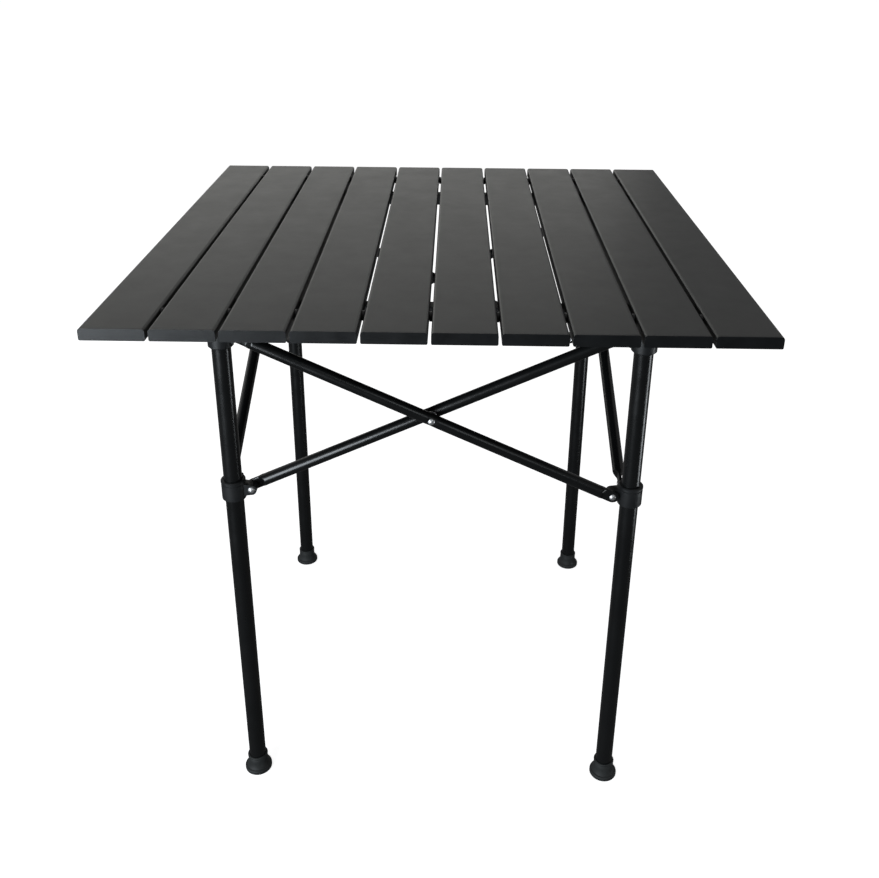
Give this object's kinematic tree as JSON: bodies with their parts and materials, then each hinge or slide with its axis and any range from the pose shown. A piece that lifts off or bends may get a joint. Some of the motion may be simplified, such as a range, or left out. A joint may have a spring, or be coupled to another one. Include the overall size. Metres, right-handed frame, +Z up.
{
  "type": "folding side table",
  "caption": "Square roll-up slatted top resting on rails over a folding frame of round legs with riveted crossed braces on every side.",
  "frame": {"origin": "on the floor, under the centre of the top", "axes": "+Z up, X across the slats from left to right, +Y along the slats from front to rear"},
  "size_m": [0.7, 0.7, 0.7],
  "materials": {
    "slat_paint": "matte powder coat",
    "frame_paint": "gloss powder coat",
    "rail_paint": "satin powder coat",
    "cap_plastic": "satin moulded plastic",
    "hub_plastic": "moulded nylon",
    "foot_rubber": "matte rubber",
    "rivet_steel": "bright plated steel",
    "elastic_cord": "braided elastic cord",
    "spacer_plastic": "moulded plastic"
  },
  "bodies": {
    "leg_front_left": {"front_left_leg_tube": "frame_paint", "front_left_hub": "hub_plastic", "front_left_foot": "foot_rubber"},
    "leg_front_right": {"front_right_leg_tube": "frame_paint", "front_right_hub": "hub_plastic", "front_right_foot": "foot_rubber"},
    "leg_rear_right": {"rear_right_leg_tube": "frame_paint", "rear_right_hub": "hub_plastic", "rear_right_foot": "foot_rubber"},
    "leg_rear_left": {"rear_left_leg_tube": "frame_paint", "rear_left_hub": "hub_plastic", "rear_left_foot": "foot_rubber"},
    "collar_front_left": {"front_left_collar": "hub_plastic"},
    "collar_front_right": {"front_right_collar": "hub_plastic"},
    "collar_rear_right": {"rear_right_collar": "hub_plastic"},
    "collar_rear_left": {"rear_left_collar": "hub_plastic"},
    "front_outer": {"front_outer_brace": "frame_paint", "front_outer_brace_rivets": "rivet_steel"},
    "front_inner": {"front_inner_brace": "frame_paint", "front_inner_brace_rivets": "rivet_steel"},
    "right_outer": {"right_outer_brace": "frame_paint", "right_outer_brace_rivets": "rivet_steel"},
    "right_inner": {"right_inner_brace": "frame_paint", "right_inner_brace_rivets": "rivet_steel"},
    "rear_outer": {"rear_outer_brace": "frame_paint", "rear_outer_brace_rivets": "rivet_steel"},
    "rear_inner": {"rear_inner_brace": "frame_paint", "rear_inner_brace_rivets": "rivet_steel"},
    "left_outer": {"left_outer_brace": "frame_paint", "left_outer_brace_rivets": "rivet_steel"},
    "left_inner": {"left_inner_brace": "frame_paint", "left_inner_brace_rivets": "rivet_steel"},
    "rail_front": {"front_rail": "rail_paint", "front_rail_end_plugs": "cap_plastic"},
    "rail_rear": {"rear_rail": "rail_paint", "rear_rail_end_plugs": "cap_plastic"},
    "top_01": {"slat_01": "slat_paint", "slat_01_end_caps": "cap_plastic", "front_shock_cord": "elastic_cord", "rear_shock_cord": "elastic_cord", "cord_spacers": "spacer_plastic"},
    "top_02": {"slat_02": "slat_paint", "slat_02_end_caps": "cap_plastic"},
    "top_03": {"slat_03": "slat_paint", "slat_03_end_caps": "cap_plastic"},
    "top_04": {"slat_04": "slat_paint", "slat_04_end_caps": "cap_plastic"},
    "top_05": {"slat_05": "slat_paint", "slat_05_end_caps": "cap_plastic"},
    "top_06": {"slat_06": "slat_paint", "slat_06_end_caps": "cap_plastic"},
    "top_07": {"slat_07": "slat_paint", "slat_07_end_caps": "cap_plastic"},
    "top_08": {"slat_08": "slat_paint", "slat_08_end_caps": "cap_plastic"},
    "top_09": {"slat_09": "slat_paint", "slat_09_end_caps": "cap_plastic"},
    "top_10": {"slat_10": "slat_paint", "slat_10_end_caps": "cap_plastic"}
  },
  "joints": [
    {"name": "fold", "type": "hinge", "parent": "leg_front_left", "child": "front_outer", "pos_m": [-0.215, -0.2455, 0.648], "axis": [0, 1, 0], "range_deg": [0, 61]},
    {"name": "front_cross", "type": "hinge", "parent": "front_outer", "child": "front_inner", "pos_m": [0, -0.237, 0.548], "axis": [0, 1, 0], "range_deg": [-122, 0]},
    {"name": "front_inner_top", "type": "hinge", "parent": "front_inner", "child": "leg_front_right", "pos_m": [0.215, -0.2285, 0.648], "axis": [0, 1, 0], "range_deg": [0, 61]},
    {"name": "front_inner_low", "type": "hinge", "parent": "front_inner", "child": "collar_front_left", "pos_m": [-0.215, -0.2285, 0.448], "axis": [0, 1, 0], "range_deg": [0, 61]},
    {"name": "front_outer_low", "type": "hinge", "parent": "front_outer", "child": "collar_front_right", "pos_m": [0.215, -0.2455, 0.448], "axis": [0, 1, 0], "range_deg": [-61, 0]},
    {"name": "left_inner_top", "type": "hinge", "parent": "leg_front_left", "child": "left_inner", "pos_m": [-0.2285, -0.215, 0.648], "axis": [-1, 0, 0], "range_deg": [0, 61]},
    {"name": "left_cross", "type": "hinge", "parent": "left_inner", "child": "left_outer", "pos_m": [-0.237, 0, 0.548], "axis": [-1, 0, 0], "range_deg": [-122, 0]},
    {"name": "left_outer_top", "type": "hinge", "parent": "left_outer", "child": "leg_rear_left", "pos_m": [-0.2455, 0.215, 0.648], "axis": [-1, 0, 0], "range_deg": [0, 61]},
    {"name": "left_inner_low", "type": "hinge", "parent": "left_inner", "child": "collar_rear_left", "pos_m": [-0.2285, 0.215, 0.448], "axis": [-1, 0, 0], "range_deg": [-61, 0]},
    {"name": "right_outer_top", "type": "hinge", "parent": "leg_front_right", "child": "right_outer", "pos_m": [0.2455, -0.215, 0.648], "axis": [-1, 0, 0], "range_deg": [0, 61]},
    {"name": "right_cross", "type": "hinge", "parent": "right_outer", "child": "right_inner", "pos_m": [0.237, 0, 0.548], "axis": [-1, 0, 0], "range_deg": [-122, 0]},
    {"name": "right_inner_top", "type": "hinge", "parent": "right_inner", "child": "leg_rear_right", "pos_m": [0.2285, 0.215, 0.648], "axis": [-1, 0, 0], "range_deg": [0, 61]},
    {"name": "right_outer_low", "type": "hinge", "parent": "right_outer", "child": "collar_rear_right", "pos_m": [0.2455, 0.215, 0.448], "axis": [-1, 0, 0], "range_deg": [-61, 0]},
    {"name": "rear_outer_top", "type": "hinge", "parent": "leg_rear_right", "child": "rear_outer", "pos_m": [0.215, 0.2455, 0.648], "axis": [0, -1, 0], "range_deg": [0, 61]},
    {"name": "rear_cross", "type": "hinge", "parent": "rear_outer", "child": "rear_inner", "pos_m": [0, 0.237, 0.548], "axis": [0, -1, 0], "range_deg": [-122, 0]},
    {"name": "top_lift", "type": "slide", "parent": "leg_front_left", "child": "top_01", "axis": [0, 0, 1], "range_m": [0, 0.2]},
    {"name": "rail_front_lift", "type": "slide", "parent": "leg_front_left", "child": "rail_front", "axis": [0, 0, 1], "range_m": [0, 0.1]},
    {"name": "rail_rear_lift", "type": "slide", "parent": "leg_rear_left", "child": "rail_rear", "axis": [0, 0, 1], "range_m": [0, 0.1]},
    {"name": "roll", "type": "hinge", "parent": "top_01", "child": "top_02", "pos_m": [-0.28133, 0, 0.7], "axis": [0, -1, 0], "range_deg": [0, 57], "deforming": ["front_shock_cord", "rear_shock_cord", "cord_spacers"]},
    {"name": "roll_02", "type": "hinge", "parent": "top_02", "child": "top_03", "pos_m": [-0.211, 0, 0.7], "axis": [0, -1, 0], "range_deg": [0, 57]},
    {"name": "roll_03", "type": "hinge", "parent": "top_03", "child": "top_04", "pos_m": [-0.14067, 0, 0.7], "axis": [0, -1, 0], "range_deg": [0, 57]},
    {"name": "roll_04", "type": "hinge", "parent": "top_04", "child": "top_05", "pos_m": [-0.07033, 0, 0.7], "axis": [0, -1, 0], "range_deg": [0, 62.7]},
    {"name": "roll_05", "type": "hinge", "parent": "top_05", "child": "top_06", "pos_m": [0, 0, 0.7], "axis": [0, -1, 0], "range_deg": [0, 74.1]},
    {"name": "roll_06", "type": "hinge", "parent": "top_06", "child": "top_07", "pos_m": [0.07033, 0, 0.7], "axis": [0, -1, 0], "range_deg": [0, 66.69]},
    {"name": "roll_07", "type": "hinge", "parent": "top_07", "child": "top_08", "pos_m": [0.14067, 0, 0.7], "axis": [0, -1, 0], "range_deg": [0, 92.91]},
    {"name": "roll_08", "type": "hinge", "parent": "top_08", "child": "top_09", "pos_m": [0.211, 0, 0.7], "axis": [0, -1, 0], "range_deg": [0, 92.34]},
    {"name": "roll_09", "type": "hinge", "parent": "top_09", "child": "top_10", "pos_m": [0.28133, 0, 0.7], "axis": [0, -1, 0], "range_deg": [0, 141.36]}
  ],
  "couplings": [
    {"joint": "front_cross", "follows": "fold", "ratio": -2},
    {"joint": "front_inner_top", "follows": "fold", "ratio": 1},
    {"joint": "front_inner_low", "follows": "fold", "ratio": 1},
    {"joint": "front_outer_low", "follows": "fold", "ratio": -1},
    {"joint": "left_inner_top", "follows": "fold", "ratio": 1},
    {"joint": "left_cross", "follows": "fold", "ratio": -2},
    {"joint": "left_outer_top", "follows": "fold", "ratio": 1},
    {"joint": "left_inner_low", "follows": "fold", "ratio": -1},
    {"joint": "right_outer_top", "follows": "fold", "ratio": 1},
    {"joint": "right_cross", "follows": "fold", "ratio": -2},
    {"joint": "right_inner_top", "follows": "fold", "ratio": 1},
    {"joint": "right_outer_low", "follows": "fold", "ratio": -1},
    {"joint": "rear_outer_top", "follows": "fold", "ratio": 1},
    {"joint": "rear_cross", "follows": "fold", "ratio": -2},
    {"joint": "rail_front_lift", "follows": "top_lift", "ratio": 0.5},
    {"joint": "rail_rear_lift", "follows": "top_lift", "ratio": 0.5},
    {"joint": "roll_02", "follows": "roll", "ratio": 1},
    {"joint": "roll_03", "follows": "roll", "ratio": 1},
    {"joint": "roll_04", "follows": "roll", "ratio": 1.1},
    {"joint": "roll_05", "follows": "roll", "ratio": 1.3},
    {"joint": "roll_06", "follows": "roll", "ratio": 1.17},
    {"joint": "roll_07", "follows": "roll", "ratio": 1.63},
    {"joint": "roll_08", "follows": "roll", "ratio": 1.62},
    {"joint": "roll_09", "follows": "roll", "ratio": 2.48}
  ]
}
